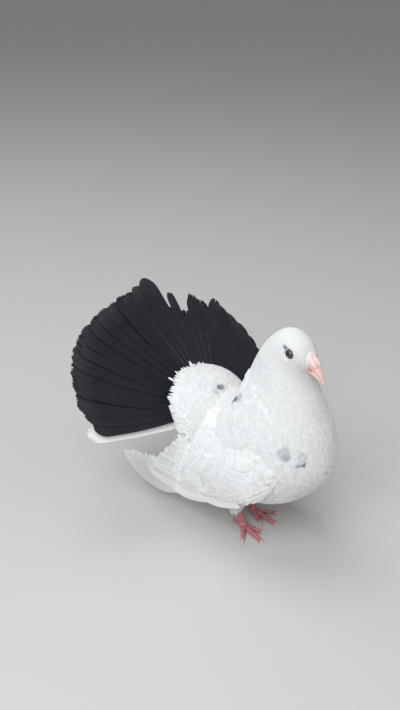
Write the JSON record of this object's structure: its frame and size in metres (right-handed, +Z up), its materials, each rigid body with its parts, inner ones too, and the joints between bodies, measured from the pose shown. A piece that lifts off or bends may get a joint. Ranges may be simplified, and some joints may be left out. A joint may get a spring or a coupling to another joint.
{
  "type": "fantail pigeon model",
  "caption": "Life-size model of a white fantail pigeon with a black spread tail, standing with drooped wings and bill tucked down.",
  "frame": {"origin": "bottom centre of the bounding box, on the floor that the toes rest on", "axes": "+Z up, -Y the way the bird faces, +X towards the bird's left"},
  "size_m": [0.2538, 0.2638, 0.216],
  "materials": {
    "white_plumage": "soft white feathers",
    "black_plumage": "satin slate-black feathers",
    "bill_horn": "smooth pale pink horn",
    "cere_skin": "powdery pale skin",
    "leg_skin": "scaly pink-red skin",
    "claw_horn": "smooth pale horn",
    "eye": "wet dark eye"
  },
  "bodies": {
    "root": {"torso": "white_plumage", "neck": "white_plumage", "head": "white_plumage", "upper_bill": "bill_horn", "lower_bill": "bill_horn", "cere": "cere_skin", "tail_fan": "black_plumage", "tail_outer_feather": "white_plumage", "tail_coverts": "white_plumage", "undertail_coverts": "white_plumage", "eye_left": "eye", "wing_left": "white_plumage", "thigh_left": "white_plumage", "foot_left": "leg_skin", "claw_left_inner": "claw_horn", "claw_left_middle": "claw_horn", "claw_left_outer": "claw_horn", "claw_left_hind": "claw_horn", "eye_right": "eye", "wing_right": "white_plumage", "thigh_right": "white_plumage", "foot_right": "leg_skin", "claw_right_inner": "claw_horn", "claw_right_middle": "claw_horn", "claw_right_outer": "claw_horn", "claw_right_hind": "claw_horn"}
  },
  "joints": []
}
